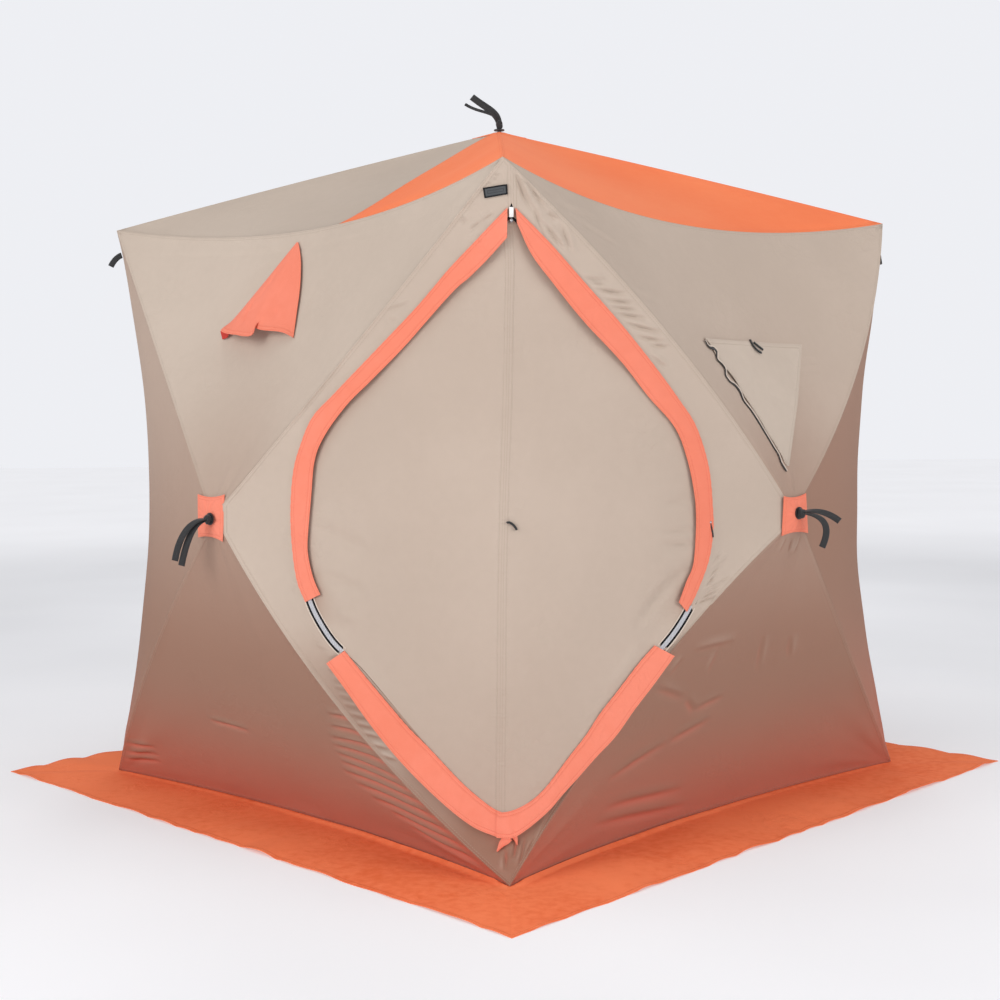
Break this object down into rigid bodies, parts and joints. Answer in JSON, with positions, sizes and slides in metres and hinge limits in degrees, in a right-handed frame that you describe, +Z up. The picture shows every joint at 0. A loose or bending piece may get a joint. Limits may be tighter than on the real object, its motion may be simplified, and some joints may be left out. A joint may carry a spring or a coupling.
{
  "type": "pop-up fishing shelter",
  "caption": "Pop-up ice fishing hut of stretched cloth on a sprung hub-and-pole frame, with a zipped corner door, a vent hood, window flaps and a ground skirt",
  "frame": {"origin": "on the ground under the roof hub, at the centre of the base", "axes": "+Z up; the door corner faces -Y; the four walls face the diagonals between X and Y"},
  "size_m": [3.2548, 3.2548, 2.1808],
  "materials": {
    "beige_cloth": "matt woven polyester, thin coated",
    "orange_cloth": "matt woven polyester, thin coated",
    "skirt_cloth": "heavier woven polyester",
    "zip_tape": "black woven tape",
    "webbing": "black woven webbing",
    "dark_patch": "plain dark woven patch",
    "window_film": "tinted clear film",
    "mesh_cloth": "fine black mesh",
    "hub_plastic": "black moulded nylon",
    "pole_fibre": "pale glass-fibre rod"
  },
  "bodies": {
    "root": {"bottom_corner_sockets": "hub_plastic", "corner_loops": "webbing", "corner_panel_back": "beige_cloth", "corner_panel_left": "beige_cloth", "corner_panel_right": "beige_cloth", "door_flap_lower_left": "orange_cloth", "door_flap_lower_right": "orange_cloth", "door_flap_upper_left": "orange_cloth", "door_flap_upper_right": "orange_cloth", "door_panel": "beige_cloth", "door_surround": "beige_cloth", "door_zip": "zip_tape", "hub_patches": "orange_cloth", "label_patch": "dark_patch", "roof_accent_back": "orange_cloth", "roof_accent_front": "orange_cloth", "roof_hub": "hub_plastic", "roof_panel_back_left": "orange_cloth", "roof_panel_back_right": "beige_cloth", "roof_panel_front_left": "beige_cloth", "roof_panel_front_right": "orange_cloth", "roof_poles": "pole_fibre", "roof_pull_strap": "webbing", "skirt_back_left": "skirt_cloth", "skirt_back_right": "skirt_cloth", "skirt_front_left": "skirt_cloth", "skirt_front_right": "skirt_cloth", "top_corner_sockets": "hub_plastic", "vent_hood_back_right": "orange_cloth", "vent_hood_front_left": "orange_cloth", "vent_meshes": "mesh_cloth", "wall_hubs": "hub_plastic", "wall_lower_back_left": "beige_cloth", "wall_lower_back_right": "beige_cloth", "wall_lower_front_left": "beige_cloth", "wall_lower_front_right": "beige_cloth", "wall_poles": "pole_fibre", "wall_pull_straps": "webbing", "wall_upper_back_left": "beige_cloth", "wall_upper_back_right": "beige_cloth", "wall_upper_front_left": "beige_cloth", "wall_upper_front_right": "beige_cloth", "window_flap_back_left": "beige_cloth", "window_flap_front_right": "beige_cloth", "window_panes": "window_film"}
  },
  "joints": []
}
